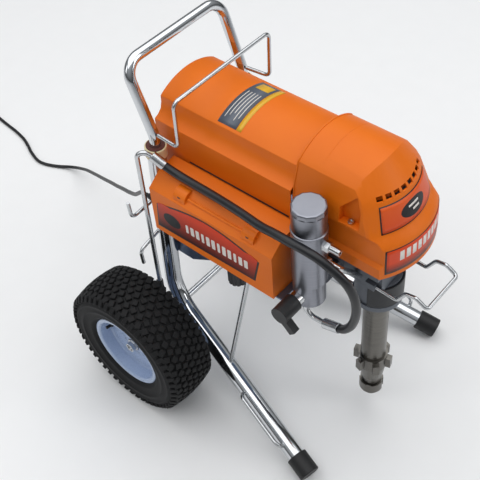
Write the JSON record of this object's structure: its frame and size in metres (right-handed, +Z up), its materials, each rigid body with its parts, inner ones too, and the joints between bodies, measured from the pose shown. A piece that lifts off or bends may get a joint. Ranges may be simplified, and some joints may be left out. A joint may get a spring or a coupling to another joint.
{
  "type": "airless paint sprayer",
  "caption": "Two-wheeled cart carrying an electric piston paint pump under moulded covers, with a control box, filter, drain hose, pull-up handle and power cord.",
  "frame": {"origin": "on the floor, under the centre of the machine's bounding box without its power cord", "axes": "+X forward to the pump, +Z up, -Y the side with the control box"},
  "size_m": [1.7819, 0.668, 0.8039],
  "materials": {
    "chromed_tube": "bright chromed steel tube",
    "plated_steel": "bright zinc plated steel rod",
    "plated_sheet": "blue-grey zinc plated sheet",
    "black_rubber": "matt black rubber",
    "nylon": "natural nylon",
    "tyre": "matt black turf tyre",
    "rim_paint": "pale blue-grey powder coat",
    "hub_plastic": "black nylon bearing",
    "cover_plastic": "orange moulded plastic, satin",
    "steel": "machined steel",
    "stainless": "turned stainless steel",
    "cast_grey": "grey painted casting",
    "guard_plastic": "black moulded guard",
    "motor_paint": "black motor casing",
    "copper_core": "laminated armature",
    "bronze": "bronze",
    "aluminium": "turned aluminium",
    "filter_mesh": "woven stainless mesh",
    "black_plastic": "black moulded plastic",
    "hose_rubber": "black hose",
    "board": "green circuit board",
    "cord_rubber": "black cord"
  },
  "bodies": {
    "cart": {"frame_tube_near": "chromed_tube", "frame_tube_far": "chromed_tube", "platform": "plated_sheet", "axle": "plated_steel", "axle_nuts": "plated_steel", "foot_caps": "black_rubber", "handle_collars": "nylon", "leg_hoops": "plated_steel", "brace_rods": "plated_steel", "cord_hooks": "plated_steel", "rear_cover": "cover_plastic", "front_cover": "cover_plastic", "cover_screws": "steel", "motor_can": "motor_paint", "motor_end_cap": "aluminium", "drive_housing": "cast_grey", "rod_guard": "guard_plastic", "packing_nut": "bronze", "pump_cylinder": "stainless", "lug_coupling": "stainless", "intake_housing": "stainless", "intake_ring": "stainless", "intake_ball": "steel", "pail_hanger": "plated_steel", "manifold": "aluminium", "filter_cap": "aluminium", "filter_element": "filter_mesh", "transfer_tube": "plated_steel", "outlet_fitting": "plated_steel", "prime_valve": "plated_steel", "drain_tube": "plated_steel", "hose_crimps": "plated_steel", "drain_hose": "hose_rubber", "return_tube": "plated_steel", "control_box": "cover_plastic", "circuit_board": "board", "cord_gland": "black_rubber", "power_cord": "cord_rubber", "cord_coil": "cord_rubber", "plug": "cord_rubber"},
    "wheel_near": {"tyre_near": "tyre", "rim_near": "rim_paint", "hub_near": "hub_plastic", "valve_near": "black_rubber"},
    "wheel_far": {"tyre_far": "tyre", "rim_far": "rim_paint", "hub_far": "hub_plastic", "valve_far": "black_rubber"},
    "pull_handle": {"handle": "chromed_tube", "hose_rack": "plated_steel"},
    "motor_rotor": {"rotor": "copper_core", "cooling_fan": "black_plastic"},
    "gear_shaft": {"reduction_gear": "steel", "crank": "steel"},
    "pump_rod": {"connecting_rod": "cast_grey", "displacement_rod": "stainless", "pump_piston": "bronze"},
    "prime_handle": {"prime_lever": "black_plastic"},
    "pressure_control": {"pressure_knob": "black_plastic"},
    "switch_rocker": {"power_switch": "black_plastic"}
  },
  "joints": [
    {"name": "near_wheel_spin", "type": "hinge", "parent": "cart", "child": "wheel_near", "pos_m": [-0.2025, -0.272, 0.165], "axis": [0, 1, 0], "continuous": true},
    {"name": "far_wheel_spin", "type": "hinge", "parent": "cart", "child": "wheel_far", "pos_m": [-0.2025, 0.272, 0.165], "axis": [0, 1, 0], "continuous": true},
    {"name": "handle_slide", "type": "slide", "parent": "cart", "child": "pull_handle", "axis": [0.0407, 0, 0.9992], "range_m": [0, 0.2]},
    {"name": "rotor_spin", "type": "hinge", "parent": "cart", "child": "motor_rotor", "pos_m": [0.0975, 0, 0.62], "axis": [1, 0, 0], "continuous": true},
    {"name": "gear_spin", "type": "hinge", "parent": "cart", "child": "gear_shaft", "pos_m": [0.1175, 0, 0.56], "axis": [1, 0, 0], "continuous": true},
    {"name": "pump_stroke", "type": "slide", "parent": "cart", "child": "pump_rod", "axis": [0, 0, 1], "range_m": [0, 0.06]},
    {"name": "prime_turn", "type": "hinge", "parent": "cart", "child": "prime_handle", "pos_m": [0.1585, -0.18, 0.47], "axis": [0, -1, 0], "range_deg": [0, 90]},
    {"name": "pressure_turn", "type": "hinge", "parent": "cart", "child": "pressure_control", "pos_m": [0.0005, -0.155, 0.42], "axis": [0, 0, 1], "range_deg": [0, 270]},
    {"name": "switch_rock", "type": "hinge", "parent": "cart", "child": "switch_rocker", "pos_m": [-0.1925, -0.1267, 0.535], "axis": [0, 1, 0], "range_deg": [0, 12]}
  ],
  "couplings": [
    {"joint": "gear_spin", "follows": "rotor_spin", "ratio": -0.25}
  ]
}
